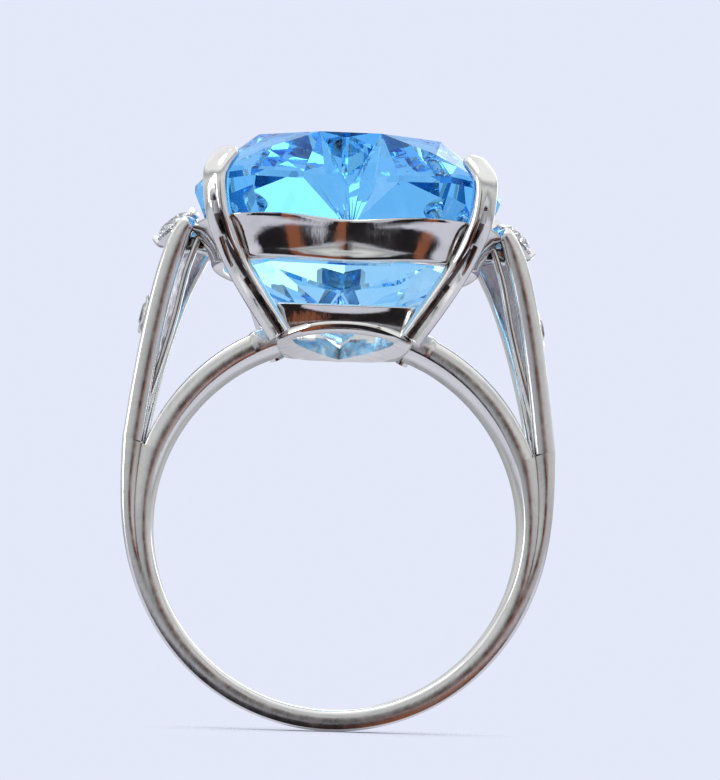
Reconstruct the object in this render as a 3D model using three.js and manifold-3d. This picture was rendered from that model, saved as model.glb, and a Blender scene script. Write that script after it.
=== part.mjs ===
// A cocktail ring: a heart-cut blue stone in a claw head, on a split shank with cathedral shoulders.
// Millimetres. The origin is the centre of the finger hole, +Y runs along the finger away from the
// cleft of the heart, and +Z runs up through the table of the stone.
import * as THREE from 'three';
import { mergeVertices } from 'three/addons/utils/BufferGeometryUtils.js';
import Module from 'manifold-3d';

const wasm = await Module();
wasm.setup();

// Clearances
const solderGap = 0.05; // between two pieces that are soldered together
const seatGap = 0.05; // between a stone and the metal that holds it

// Shank and inner arches
const fingerRadius = 8.65;
const shankThickness = 0.97; // at the bottom
const shankWidth = 2.2; // at the bottom, along the finger
const splitThickness = 2.12; // where the shank parts into arch and shoulder
const splitWidth = 3.2;
const splitAngle = 20; // degrees above the horizontal
const archThickness = 1.05;
const archHeadWidth = 3.5;
const edgeBevel = 0.16;

// Centre stone
const stoneWidth = 14.4;
const lobeOverlap = 0.1; // how far each lobe reaches over the middle plane
const stoneLength = 13.2; // from the front of the lobes to the point
const stoneFront = -6.25; // where the front of the lobes lies along the finger
const culetAlong = 0.6; // where the culet lies along the finger
const girdleThickness = 0.3;
const crownHeight = 2.5;
const tableShare = 0.66; // table width over girdle width
const tableCleft = 0.15; // how much of the cleft is left in the table
const pavilionDepth = 6.35;
const keelClearance = 0.15; // between the stone's lowest edge and the finger hole
const keelShare = 0.32; // length of the keel along the finger over the stone's
const railTopShare = 0.94; // the pavilion's outline at the top of the upper rail, as a share of the girdle's
const railBottomShare = 0.79; // and at its bottom

// Head
const railWall = 0.45; // upper gallery rail
const railHeight = 1.85;
const railDrop = 1.7; // from the girdle down to the top of the upper rail
const railHollow = 0.14; // depth of the hollow in its outer face
const railSeat = seatGap * 1.6; // between the stone and the rail's inner face
const baseRise = 1.1; // of the base's top above the finger hole
const baseHalfWidth = 3.3;
const baseFront = -4.2;
const baseBack = 5.8;
const baseWindowHalfWidth = 2.35;
const baseWindowFront = -2.6;
const baseWindowBack = 4.95;

// Heights above the finger-hole centre, and the stone's lobes
const baseTop = fingerRadius + baseRise;
const girdleHeight = fingerRadius + keelClearance + pavilionDepth; // bottom of the girdle
const lobeRadius = (stoneWidth / 2 + lobeOverlap) / 2;

// How deep each level of the pavilion lies, and its share of the girdle's outline.
const railBottomDepth = railDrop + railHeight;
const pavilionBelly = [
  [railDrop / pavilionDepth, railTopShare],
  [railBottomDepth / pavilionDepth, railBottomShare],
  [(railBottomDepth / pavilionDepth + 1) * 0.48, 0.63],
  [(railBottomDepth / pavilionDepth + 2) / 3, 0.4],
  [1, 0.04],
];

// Claws
const clawWidth = 1.1;
const clawDepth = 0.78;
const clawFootShare = 0.78; // foot width over claw width
const clawGroove = 0.16; // depth of the groove down a front claw
const clawStandoff = 0.32; // from the stone's outline to the claw's centre line
const clawCover = 0.35; // how far a tip reaches in over the crown
const clawBulge = 0.12; // how far the leg bows out between the base and the rail
const clawRise = 0.9; // from the girdle up to the tip's centre line
const clawFootDrop = 1.28; // from the base's top down to the claws' feet
const frontClawShare = 0.7; // along the lobe, from the cleft
const rearClawShare = 0.5; // along the heart's side, from the lobe
const pointClawReach = 1.25; // along each side of the heart's point
const pointClawWall = 0.55;

// Shoulders
const shoulderRailWidth = 0.95;
const shoulderRailDepth = 0.9;
const shoulderDrop = 1.4; // from the girdle down to the rails' tips
const shoulderClearance = 0.25; // from the stone's widest place out to the front rail's tip
const frontRailSpread = 2.05; // from the middle plane, at the top
const rearRailSpread = 3.35;
const rearRailInset = 0.85; // how far the rear rail's top leans in from the front rail's
const plateThickness = 0.55;
const ribWidth = 0.34;
const ribDepth = 0.5;
const ribInset = 0.86; // from the front rail's centre line in to the rib's
const bridgeHeight = 1.0;
const bridgeLength = 1.5;
const bridgeAlong = -1.0;

// Small stones in the shoulders
const upperMeleeDiameter = 2.0;
const lowerMeleeDiameter = 1.5;
const colletWall = 0.17;

const metalColour = 0xd6d8dc;
const blueColour = 0x3ba4ec;
const whiteColour = 0xf2f6fb;

const alongAxis = new THREE.Vector3(0, 1, 0);
const stations = 14; // steps along a bar

const vec = (x, y, z) => new THREE.Vector3(x, y, z);
const mirrored = (points, side) => points.map((p) => vec(p.x * side, p.y, p.z));

// ---- Solids ----

// A closed skin through rings of points that have the same count.
function loft(rings, closed = false) {
  const count = rings[0].length;
  const positions = rings.flat();
  const index = [];
  const spans = closed ? rings.length : rings.length - 1;
  for (let i = 0; i < spans; i++) {
    const here = i * count;
    const next = ((i + 1) % rings.length) * count;
    for (let j = 0; j < count; j++) {
      const k = (j + 1) % count;
      index.push(here + j, here + k, next + k, here + j, next + k, next + j);
    }
  }
  if (!closed) {
    const ends = [0, rings.length - 1];
    ends.forEach((end) => {
      const middle = rings[end].reduce((sum, p) => sum.add(p), vec(0, 0, 0)).divideScalar(count);
      positions.push(middle);
      for (let j = 0; j < count; j++) {
        const a = end * count + j;
        const b = end * count + ((j + 1) % count);
        index.push(positions.length - 1, end === 0 ? b : a, end === 0 ? a : b);
      }
    });
  }
  const geometry = new THREE.BufferGeometry().setFromPoints(positions);
  geometry.setIndex(index);
  return geometry;
}

function signedVolume(positions, index) {
  let sum = 0;
  const corner = (i) => vec(positions[3 * i], positions[3 * i + 1], positions[3 * i + 2]);
  for (let i = 0; i < index.length; i += 3) {
    sum += corner(index[i]).dot(corner(index[i + 1]).cross(corner(index[i + 2])));
  }
  return sum / 6;
}

function solidOf(source) {
  const bare = source.clone();
  bare.deleteAttribute('normal');
  bare.deleteAttribute('uv');
  const merged = mergeVertices(bare, 1e-5);
  const vertProperties = new Float32Array(merged.attributes.position.array);
  const triVerts = new Uint32Array(merged.index.array);
  if (signedVolume(vertProperties, triVerts) < 0) {
    triVerts.reverse();
  }
  return new wasm.Manifold(new wasm.Mesh({ numProp: 3, vertProperties, triVerts }));
}

function geometryOf(solid) {
  const mesh = solid.getMesh();
  const geometry = new THREE.BufferGeometry();
  geometry.setAttribute('position', new THREE.BufferAttribute(new Float32Array(mesh.vertProperties), 3));
  geometry.setIndex(Array.from(mesh.triVerts));
  geometry.computeVertexNormals();
  return geometry;
}

const cutBy = (solid, ...tools) => tools.reduce((rest, tool) => rest.subtract(tool), solid);

// A rectangle with bevelled corners, round a centre, as points in the plane of side and out.
function bevelledSection(centre, side, out, halfWide, halfDeep, bevel) {
  const corners = [
    [halfWide - bevel, halfDeep],
    [halfWide, halfDeep - bevel],
    [halfWide, bevel - halfDeep],
    [halfWide - bevel, -halfDeep],
    [bevel - halfWide, -halfDeep],
    [-halfWide, bevel - halfDeep],
    [-halfWide, halfDeep - bevel],
    [bevel - halfWide, halfDeep],
  ];
  return corners.map(([a, b]) => centre.clone().addScaledVector(side, a).addScaledVector(out, b));
}

// Frames along a smooth curve, with out kept as near as possible to the given direction.
function framesAlong(points, outHint, steps = stations) {
  const curve = new THREE.CatmullRomCurve3(points);
  const frames = [];
  for (let i = 0; i <= steps; i++) {
    const share = i / steps;
    const along = curve.getTangentAt(share);
    const out = outHint.clone().addScaledVector(along, -outHint.dot(along)).normalize();
    const side = along.clone().cross(out).normalize();
    frames.push({ share, centre: curve.getPointAt(share), along, out, side });
  }
  return frames;
}

function barSolid(points, outHint, wide, deep, bevel, grow = 0) {
  const frames = framesAlong(points, outHint);
  const rings = frames.map(({ centre, side, out }) =>
    bevelledSection(centre, side, out, wide / 2 + grow, deep / 2 + grow, bevel));
  return solidOf(loft(rings));
}

// ---- Shank and arches ----

const degrees = (angle) => THREE.MathUtils.degToRad(angle);
const radial = (angle) => vec(Math.cos(degrees(angle)), 0, Math.sin(degrees(angle)));

// One section of the band: a bevelled rectangle that stands on the finger hole.
function bandSection(angle, thickness, width, grow = 0) {
  const out = radial(angle);
  const centre = out.clone().multiplyScalar(fingerRadius + thickness / 2);
  return bevelledSection(centre, alongAxis, out, width / 2 + grow, thickness / 2 + grow, edgeBevel);
}

const splitGapAngle = THREE.MathUtils.radToDeg(solderGap / fingerRadius);

function shankSolid(grow = 0) {
  const sweep = 90 + splitAngle + (grow > 0 ? splitGapAngle : 0);
  const steps = 22; // on each side of the bottom
  const rings = [];
  for (let i = -steps; i <= steps; i++) {
    const share = Math.abs(i) / steps;
    const flare = 0.3 * share ** 2 + 0.7 * share ** 8;
    const thickness = THREE.MathUtils.lerp(shankThickness, splitThickness, flare);
    const width = THREE.MathUtils.lerp(shankWidth, splitWidth, share ** 2);
    rings.push(bandSection(-90 + (sweep * i) / steps, thickness, width, grow));
  }
  return solidOf(loft(rings));
}

function archSolid(side, grow = 0) {
  const steps = 14;
  const first = splitAngle + splitGapAngle;
  const last = THREE.MathUtils.radToDeg(Math.acos((baseHalfWidth * 0.8) / fingerRadius));
  const rings = [];
  for (let i = 0; i <= steps; i++) {
    const share = i / steps;
    const angle = THREE.MathUtils.lerp(first, last, share);
    const width = THREE.MathUtils.lerp(splitWidth, archHeadWidth, share);
    rings.push(mirrored(bandSection(angle, archThickness, width, grow), side));
  }
  return solidOf(loft(rings));
}

// ---- Centre stone ----

const stoneTop = girdleHeight + girdleThickness + crownHeight;
const culetHeight = girdleHeight - pavilionDepth;
const lobeAside = stoneWidth / 2 - lobeRadius;
const lobeAlong = stoneFront + lobeRadius;
const pointAlong = stoneFront + stoneLength;

// The heart's right half is a lobe, from the cleft to the widest place, and a side, on to the point.
function heartCurves() {
  const cleftAngle = Math.atan2(-Math.sqrt(lobeRadius ** 2 - lobeAside ** 2), -lobeAside);
  const belly = (pointAlong - lobeAlong) * 0.42;
  const side = new THREE.CubicBezierCurve(
    new THREE.Vector2(stoneWidth / 2, lobeAlong),
    new THREE.Vector2(stoneWidth / 2, lobeAlong + belly),
    new THREE.Vector2(stoneWidth * 0.2, pointAlong - belly * 0.62),
    new THREE.Vector2(0, pointAlong),
  );
  return { lobe: new THREE.EllipseCurve(lobeAside, lobeAlong, lobeRadius, lobeRadius, cleftAngle, 0), side };
}

const heartCurve = heartCurves();
const lobeSteps = 12;
const sideSteps = 9;

const heartHalf = () => [
  ...heartCurve.lobe.getPoints(lobeSteps).slice(0, -1),
  ...heartCurve.side.getSpacedPoints(sideSteps),
];

// How much of the cleft is left at a height: all of it at the girdle, little in the table, and none
// under the upper rail.
function cleftLeft(height) {
  const rise = (height - girdleHeight - girdleThickness) / crownHeight;
  if (rise > 0) {
    return THREE.MathUtils.lerp(1, tableCleft, Math.min(1, rise));
  }
  const depth = girdleHeight - height;
  return THREE.MathUtils.clamp(1 - (depth / (railDrop + railHeight)) * 0.9, 0, 1);
}

// The whole outline, scaled about the culet, its cleft filled in part and its edge pushed outwards.
function heartOutline(share, cleft, offset, alongShare = share) {
  const right = heartHalf().map((p) => {
    const inCleft = p.x < lobeAside && p.y < lobeAlong;
    return inCleft ? new THREE.Vector2(p.x, THREE.MathUtils.lerp(stoneFront, p.y, cleft)) : p;
  });
  const left = right.slice(1, -1).reverse().map((p) => new THREE.Vector2(-p.x, p.y));
  const points = [...right, ...left];
  return points.map((p, i) => {
    const before = points[(i + points.length - 1) % points.length];
    const after = points[(i + 1) % points.length];
    const run = after.clone().sub(before).normalize();
    const scaled = new THREE.Vector2(p.x * share, culetAlong + (p.y - culetAlong) * alongShare);
    return scaled.add(new THREE.Vector2(run.y, -run.x).multiplyScalar(offset));
  });
}

const levelRing = (share, height, offset = 0, alongShare = share) =>
  heartOutline(share, cleftLeft(height), offset, alongShare).map((p) => vec(p.x, p.y, height));

// The outline's share at a height below the girdle.
function pavilionShare(height) {
  const depth = (girdleHeight - height) / pavilionDepth;
  let [lastDepth, lastShare] = [0, 1];
  for (const [nextDepth, nextShare] of pavilionBelly) {
    if (depth <= nextDepth) {
      const step = (depth - lastDepth) / (nextDepth - lastDepth);
      return THREE.MathUtils.lerp(lastShare, nextShare, step);
    }
    [lastDepth, lastShare] = [nextDepth, nextShare];
  }
  return lastShare;
}

function stoneSolid(grow = 0) {
  const rings = [
    levelRing(tableShare, stoneTop + grow, grow),
    levelRing(1, girdleHeight + girdleThickness + grow / 2, grow),
    levelRing(1, girdleHeight - grow / 2, grow),
  ];
  pavilionBelly.forEach(([depth, share]) => {
    const isKeel = depth === 1;
    const height = girdleHeight - depth * pavilionDepth - (isKeel ? grow : 0);
    rings.push(levelRing(share, height, grow, isKeel ? keelShare : share));
  });
  return solidOf(loft(rings));
}

// ---- Claws ----

// A place on the heart's outline, with the outward direction there.
function outlineAt({ curve, share }, side) {
  const point = curve.getPoint(share);
  const run = curve.getTangent(share);
  return { at: vec(point.x * side, point.y, 0), out: vec(run.y * side, -run.x, 0) };
}

const frontClawPlace = { curve: heartCurve.lobe, share: frontClawShare };
const rearClawPlace = { curve: heartCurve.side, share: rearClawShare };

// Centre line of a claw from its foot on the base to its tip over the crown.
function clawLine(place, side, foot) {
  const { at, out } = outlineAt(place, side);
  const beside = (height, standoff) => {
    const share = pavilionShare(height);
    return vec(at.x * share, culetAlong + (at.y - culetAlong) * share, height).addScaledVector(out, standoff);
  };
  const girdleTop = girdleHeight + girdleThickness;
  const railMiddle = girdleHeight - railDrop - railHeight * 0.5;
  const railStandoff = railSeat + railWall * 0.5 + solderGap + clawDepth / 2;
  const tip = beside(girdleTop, -clawCover);
  tip.z = girdleTop + clawRise;
  const railFoot = beside(railMiddle - railHeight / 2, railStandoff);
  const shin = foot.clone().lerp(railFoot, 0.5).addScaledVector(out, clawBulge);
  const points = [
    foot,
    shin,
    railFoot,
    beside(railMiddle + railHeight / 4, railStandoff),
    beside(girdleHeight - 1.1, clawStandoff + 0.2),
    beside(girdleTop, clawStandoff),
    tip,
  ];
  return { points, out };
}

// A claw's section is a bevelled bar; the front pair has a groove down its face.
function clawSolid({ points, out }, grooved, grow = 0) {
  const rings = framesAlong(points, out).map((frame) => {
    const narrow = THREE.MathUtils.lerp(clawFootShare, 1, Math.min(1, frame.share * 1.6));
    const halfWide = (clawWidth * narrow) / 2 + grow;
    const halfDeep = clawDepth / 2 + grow;
    const bevel = clawDepth * 0.28;
    const section = bevelledSection(frame.centre, frame.side, frame.out, halfWide, halfDeep, bevel);
    const fade = Math.min(1, (1 - frame.share) * 5);
    const groove = grooved ? clawGroove * fade : 0;
    const floor = frame.centre.clone().addScaledVector(frame.out, halfDeep - groove);
    const lip = (halfWide - bevel) * 0.42;
    const middle = [1, -1].map((sign) => floor.clone().addScaledVector(frame.side, lip * sign * 0.4));
    return [...section, middle[1], middle[0]];
  });
  return solidOf(loft(rings));
}

const clawFootHeight = baseTop - clawFootDrop;
const frontFoot = (side) => vec((baseHalfWidth - clawWidth / 4) * side, baseFront, clawFootHeight);
const rearFoot = (side) => vec(baseHalfWidth * 0.88 * side, baseBack - 1.75, clawFootHeight + 0.25);

// The claw at the heart's point is a folded strip, its faces on both sides of the point.
function pointClawSolid(grow = 0) {
  const heights = [
    clawFootHeight + 0.6,
    baseTop + 1.2,
    girdleHeight - railDrop - railHeight,
    girdleHeight - 1.2,
    girdleHeight + girdleThickness,
    girdleHeight + girdleThickness + clawRise,
  ];
  const rings = heights.map((height, i) => {
    const isFoot = i === 0;
    const isTip = i === heights.length - 1;
    const share = height > girdleHeight ? 1 : pavilionShare(height);
    const ahead = culetAlong + (pointAlong - culetAlong) * share + pointClawWall + 0.1;
    const half = pointClawReach * (isFoot ? 0.55 : THREE.MathUtils.lerp(0.6, 1, i / heights.length));
    const fall = half * (isFoot ? 0.3 : 1.15); // how far the folded faces run back from the nose
    const furthest = Math.min(ahead, pointAlong + pointClawWall);
    const nose = (isFoot ? baseBack + pointClawWall * 2 : furthest) - (isTip ? clawCover : 0);
    const wing = vec(half + grow, nose - fall, height);
    const heel = vec(half * 0.62, nose - fall - pointClawWall - grow, height);
    const fold = vec(0, nose - pointClawWall - 0.25 - grow, height);
    const left = mirrored([heel, wing], -1);
    return [vec(0, nose + grow * 1.5, height), wing, heel, fold, ...left];
  });
  return solidOf(loft(rings));
}

// ---- Head ----

function fingerHoleSolid(grow = 0) {
  const length = 30;
  return solidOf(new THREE.CylinderGeometry(fingerRadius + grow, fingerRadius + grow, length, 88));
}

// Outline of the head's base: square at the front, drawn in to a round nose at the back.
function baseShape(halfWidth, front, back) {
  const corner = halfWidth * 0.3;
  const shape = new THREE.Shape();
  shape.moveTo(-halfWidth + corner, front);
  shape.lineTo(halfWidth - corner, front);
  shape.quadraticCurveTo(halfWidth, front, halfWidth, front + corner);
  shape.bezierCurveTo(halfWidth, (front + back) / 2, halfWidth * 0.8, back, 0, back);
  shape.bezierCurveTo(-halfWidth * 0.8, back, -halfWidth, (front + back) / 2, -halfWidth, front + corner);
  shape.quadraticCurveTo(-halfWidth, front, -halfWidth + corner, front);
  return shape;
}

function prismSolid(shape, bottom, top) {
  const geometry = new THREE.ExtrudeGeometry(shape, {
    depth: top - bottom,
    bevelEnabled: false,
    curveSegments: 10,
  });
  geometry.translate(0, 0, bottom);
  return solidOf(geometry);
}

const baseFloor = fingerRadius * 0.86; // lower than the finger hole cuts

function baseBlank(grow = 0) {
  const shape = baseShape(baseHalfWidth + grow, baseFront - grow, baseBack + grow);
  return prismSolid(shape, baseFloor, baseTop + grow);
}

function baseWindow() {
  const shape = baseShape(baseWindowHalfWidth, baseWindowFront, baseWindowBack);
  return prismSolid(shape, baseFloor - 1, baseTop + 1);
}

// The upper rail filled in, as the tool that clears its place.
function upperRailBlank(grow) {
  const top = girdleHeight - railDrop + grow;
  const bottom = top - railHeight - grow;
  const offset = railSeat + railWall + grow;
  const rings = [top, bottom].map((height) => levelRing(pavilionShare(height), height, offset));
  return solidOf(loft(rings));
}

function upperRailSolid() {
  const top = girdleHeight - railDrop;
  const bottom = top - railHeight;
  const levels = [top, (top + bottom) / 2, bottom];
  const inner = levels.map((height) => levelRing(pavilionShare(height), height, railSeat));
  const outer = levels.map((height, i) => {
    const wall = i === 1 ? railWall - railHollow : railWall;
    return levelRing(pavilionShare(height), height, railSeat + wall);
  });
  const count = inner[0].length;
  const rings = [];
  for (let j = 0; j < count; j++) {
    rings.push([...outer.map((ring) => ring[j]), ...inner.map((ring) => ring[j]).reverse()]);
  }
  return solidOf(loft(rings, true));
}

// ---- Shoulders ----

const shoulderTop = girdleHeight - shoulderDrop;
const shoulderTopOut = stoneWidth / 2 + shoulderClearance;
const shoulderFootRadius = fingerRadius + splitThickness - shoulderRailWidth / 2;
const shoulderFoot = radial(splitAngle + splitGapAngle).multiplyScalar(shoulderFootRadius);
const footSpread = splitWidth / 2 - shoulderRailDepth / 2;

// A rail's centre line on the +X side, from the split up to its tip beside the stone.
function shoulderLine(topOut, topSpread, spreadSign) {
  const lift = shoulderTop - shoulderFoot.z;
  const swing = shoulderFoot.x - topOut;
  const at = (rise, inShare, spreadShare) => {
    const spread = THREE.MathUtils.lerp(footSpread, topSpread, spreadShare);
    return vec(shoulderFoot.x - swing * inShare, spread * spreadSign, shoulderFoot.z + lift * rise);
  };
  return [
    at(0, 0, 0),
    at(0.27, 0.16, 0.2),
    at(0.54, 0.36, 0.48),
    at(0.78, 0.6, 0.75),
    at(0.94, 0.84, 0.93),
    at(1, 1, 1),
  ];
}

const frontLine = shoulderLine(shoulderTopOut, frontRailSpread, -1);
const rearLine = shoulderLine(shoulderTopOut - rearRailInset, rearRailSpread, 1);

function shoulderRail(line, side, grow = 0) {
  const points = mirrored(line, side);
  return barSolid(points, alongAxis, shoulderRailWidth, shoulderRailDepth, 0.14, grow);
}

// The plate that carries the small stones, from rail to rail.
function shoulderPlate(side) {
  const front = framesAlong(mirrored(frontLine, side), alongAxis);
  const rear = framesAlong(mirrored(rearLine, side), alongAxis);
  const rings = front.slice(0, -1).map((frame, i) => {
    const across = rear[i].centre.clone().sub(frame.centre);
    const normal = across.clone().cross(frame.along).normalize().multiplyScalar(plateThickness / 2);
    const a = frame.centre;
    const b = rear[i].centre;
    return [a.clone().add(normal), b.clone().add(normal), b.clone().sub(normal), a.clone().sub(normal)];
  });
  return solidOf(loft(rings));
}

// The thin rib that runs beside the front rail, on the side of the head, up to the bridge.
function ribLine(side) {
  const bridgeBottom = girdleHeight - railDrop - bridgeHeight;
  const end = (bridgeBottom - solderGap - shoulderFoot.z) / (shoulderTop - shoulderFoot.z);
  const steps = 4;
  const curve = new THREE.CatmullRomCurve3(frontLine);
  const line = [];
  for (let i = 0; i <= steps; i++) {
    const p = curve.getPointAt((end * i) / steps);
    const inShare = Math.min(1, i / 1.6);
    line.push(vec(p.x - ribInset * inShare, p.y + ribDepth * 0.5, p.z));
  }
  line[0].x -= shoulderRailWidth * 0.1;
  return mirrored(line, side);
}

function ribSolid(side, grow = 0) {
  return barSolid(ribLine(side), alongAxis, ribWidth, ribDepth, 0.08, grow);
}

// The short bridge that ties the shoulder to the upper gallery rail.
function bridgeSolid(side, grow = 0) {
  const height = girdleHeight - railDrop - bridgeHeight / 2;
  const outerEnd = shoulderTopOut + 0.35;
  const innerEnd = (stoneWidth / 2) * pavilionShare(height) - 0.4;
  const across = outerEnd - innerEnd;
  const sizes = [across, bridgeLength, bridgeHeight].map((size) => size + grow * 2);
  const block = new THREE.BoxGeometry(...sizes);
  block.translate((side * (outerEnd + innerEnd)) / 2, bridgeAlong, height);
  return solidOf(block);
}

// ---- Small stones ----

// Where a small stone sits on a shoulder, and which way it looks.
function meleeSeat(share, side, lift, tilt) {
  const front = framesAlong(mirrored(frontLine, side), alongAxis);
  const rear = framesAlong(mirrored(rearLine, side), alongAxis);
  const i = Math.round(share * stations);
  const centre = front[i].centre.clone().lerp(rear[i].centre, 0.42);
  const across = rear[i].centre.clone().sub(front[i].centre);
  const normal = front[i].along.clone().cross(across).normalize();
  if (normal.x * side < 0) {
    normal.negate();
  }
  const look = normal.applyAxisAngle(alongAxis, -tilt * side).normalize();
  return { at: centre.addScaledVector(look, lift), look };
}

function turned(profile, segments, { at, look }) {
  const lathe = new THREE.LatheGeometry(profile.map(([r, h]) => new THREE.Vector2(r, h)), segments);
  const turn = new THREE.Quaternion().setFromUnitVectors(alongAxis, look);
  const place = new THREE.Matrix4().compose(at, turn, vec(1, 1, 1));
  return solidOf(lathe.applyMatrix4(place));
}

// A round brilliant: pavilion point, girdle, crown and table. Height 0 is the girdle.
function roundStone(diameter, seat) {
  const r = diameter / 2;
  const profile = [[0, -r * 0.86], [r, -r * 0.04], [r, r * 0.04], [r * 0.56, r * 0.33], [0, r * 0.33]];
  return turned(profile, 16, seat);
}

// An open cone that holds a small stone by a thin lip.
function colletSolid(diameter, seat, lip) {
  const inner = diameter / 2 + seatGap;
  const outer = inner + colletWall;
  const foot = -diameter * 0.5;
  const profile = [
    [inner * 0.3, foot],
    [outer * 0.5, foot],
    [outer, -diameter * 0.06],
    [outer, lip],
    [inner, lip],
    [inner, -diameter * 0.08],
    [inner * 0.3, foot],
  ];
  return turned(profile, 20, seat);
}

// The same cone filled in, as the tool that clears its place in the shoulder.
function colletBlank(diameter, seat, lip) {
  const outer = diameter / 2 + seatGap + colletWall + solderGap;
  const foot = -diameter * 0.5 - solderGap;
  const profile = [[0, foot], [outer * 0.5, foot], [outer, -diameter * 0.06], [outer, lip], [0, lip]];
  return turned(profile, 20, seat);
}

const meleeKinds = [
  { name: 'upper', diameter: upperMeleeDiameter, share: 13 / 14, lift: 1.24, tilt: degrees(34), lip: 0.1 },
  { name: 'lower', diameter: lowerMeleeDiameter, share: 8 / 14, lift: 0.94, tilt: 0, lip: 0.08 },
];

// ---- Assembly ----

const ring = new THREE.Group();
ring.name = 'cocktail_ring';

function addPiece(name, solid, color, roughness, metalness) {
  const material = new THREE.MeshStandardMaterial({ color, roughness, metalness });
  const mesh = new THREE.Mesh(geometryOf(solid), material);
  mesh.name = name;
  ring.add(mesh);
}

const addMetal = (name, solid) => addPiece(name, solid, metalColour, 0.2, 1);

const sides = [['left', -1], ['right', 1]];
const stoneTool = stoneSolid(seatGap);
const fingerTool = fingerHoleSolid();
const shankTool = shankSolid(solderGap);
const railTool = upperRailBlank(solderGap);
const frontClaws = (grow) => sides.map(([, side]) =>
  clawSolid(clawLine(frontClawPlace, side, frontFoot(side)), true, grow));
const rearClaws = (grow) => sides.map(([, side]) =>
  clawSolid(clawLine(rearClawPlace, side, rearFoot(side)), false, grow));
const clawTools = [...frontClaws(solderGap), ...rearClaws(solderGap), pointClawSolid(solderGap)];

addMetal('shank', shankSolid());
addPiece('centre_stone', stoneSolid(), blueColour, 0.03, 0);
addMetal('upper_gallery_rail', cutBy(upperRailSolid(), ...clawTools));
addMetal('head_base', cutBy(baseBlank(), fingerTool, baseWindow(), stoneTool, ...clawTools));
addMetal('point_claw', cutBy(pointClawSolid(), stoneTool, fingerTool));

sides.forEach(([label, side], i) => {
  const base = baseBlank(solderGap);
  const frontClaw = frontClaws(0)[i];
  const rearClaw = rearClaws(0)[i];
  addMetal(`front_claw_${label}`, cutBy(frontClaw, stoneTool, fingerTool));
  addMetal(`rear_claw_${label}`, cutBy(rearClaw, stoneTool, fingerTool));
  addMetal(`inner_arch_${label}`, cutBy(archSolid(side), base, ...clawTools));

  const seats = meleeKinds.map((kind) => meleeSeat(kind.share, side, kind.lift, kind.tilt));
  const blanks = meleeKinds.map((kind, k) => colletBlank(kind.diameter, seats[k], kind.diameter));
  meleeKinds.forEach((kind, k) => {
    const stone = roundStone(kind.diameter, seats[k]);
    addPiece(`${kind.name}_small_stone_${label}`, stone, whiteColour, 0.03, 0);
    addMetal(`${kind.name}_collet_${label}`, colletSolid(kind.diameter, seats[k], kind.lip));
  });

  const railTools = [shoulderRail(frontLine, side, solderGap), shoulderRail(rearLine, side, solderGap)];
  const ribTool = ribSolid(side, solderGap);
  const archTool = archSolid(side, solderGap);
  const bandTools = [archTool, shankTool];
  const bridgeTool = bridgeSolid(side, solderGap);
  const bridge = cutBy(bridgeSolid(side), ...railTools, ribTool, stoneTool, railTool, ...blanks);
  const plate = cutBy(shoulderPlate(side), ...railTools, ribTool, ...blanks, ...bandTools, bridgeTool);
  const railCuts = [...blanks, ...bandTools, railTool];
  addMetal(`front_shoulder_rail_${label}`, cutBy(shoulderRail(frontLine, side), ...railCuts));
  addMetal(`rear_shoulder_rail_${label}`, cutBy(shoulderRail(rearLine, side), ...railCuts));
  addMetal(`shoulder_plate_${label}`, plate);
  addMetal(`shoulder_rib_${label}`, cutBy(ribSolid(side), railTools[0], ...bandTools, railTool));
  addMetal(`shoulder_bridge_${label}`, bridge);
});

export default ring;
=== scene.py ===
import math

import bmesh
import bpy
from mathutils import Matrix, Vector, noise


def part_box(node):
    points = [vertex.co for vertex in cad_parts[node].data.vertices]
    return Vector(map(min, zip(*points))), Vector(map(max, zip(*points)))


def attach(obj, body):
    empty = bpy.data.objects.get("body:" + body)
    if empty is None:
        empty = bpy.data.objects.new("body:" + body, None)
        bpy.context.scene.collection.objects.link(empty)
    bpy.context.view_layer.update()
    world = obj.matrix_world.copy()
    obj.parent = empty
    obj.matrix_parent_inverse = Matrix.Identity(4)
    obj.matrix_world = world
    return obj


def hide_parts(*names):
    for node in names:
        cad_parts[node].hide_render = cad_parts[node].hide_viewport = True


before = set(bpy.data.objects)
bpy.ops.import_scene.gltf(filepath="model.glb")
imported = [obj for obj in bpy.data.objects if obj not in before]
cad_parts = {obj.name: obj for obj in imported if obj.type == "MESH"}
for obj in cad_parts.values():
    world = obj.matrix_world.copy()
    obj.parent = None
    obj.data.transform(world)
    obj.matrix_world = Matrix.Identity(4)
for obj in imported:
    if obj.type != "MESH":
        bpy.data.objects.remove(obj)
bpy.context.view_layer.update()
mm = 0.001

# A cocktail ring, rebuilt piece by piece inside the boxes of its CAD solids.
# Lengths in the dictionaries are millimetres; x runs across the ring, y along the finger, z up.


def corners(node):  # a CAD node's box in millimetres
    low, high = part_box(node)
    return low / mm, high / mm


stoneLow, stoneHigh = corners("centre_stone")
shankLow, shankHigh = corners("shank")
baseLow, baseHigh = corners("head_base")
railLow, railHigh = corners("upper_gallery_rail")
clawLow = corners("front_claw_right")[0]
rearClawLow = corners("rear_claw_right")[0]


# mesh helpers

def lerp(a, b, share):
    return a + (b - a) * share


def clamp(value, low=0.0, high=1.0):
    return max(low, min(high, value))


def ease(value):  # smooth step from 0 to 1
    value = clamp(value)
    return value * value * (3 - 2 * value)


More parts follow.
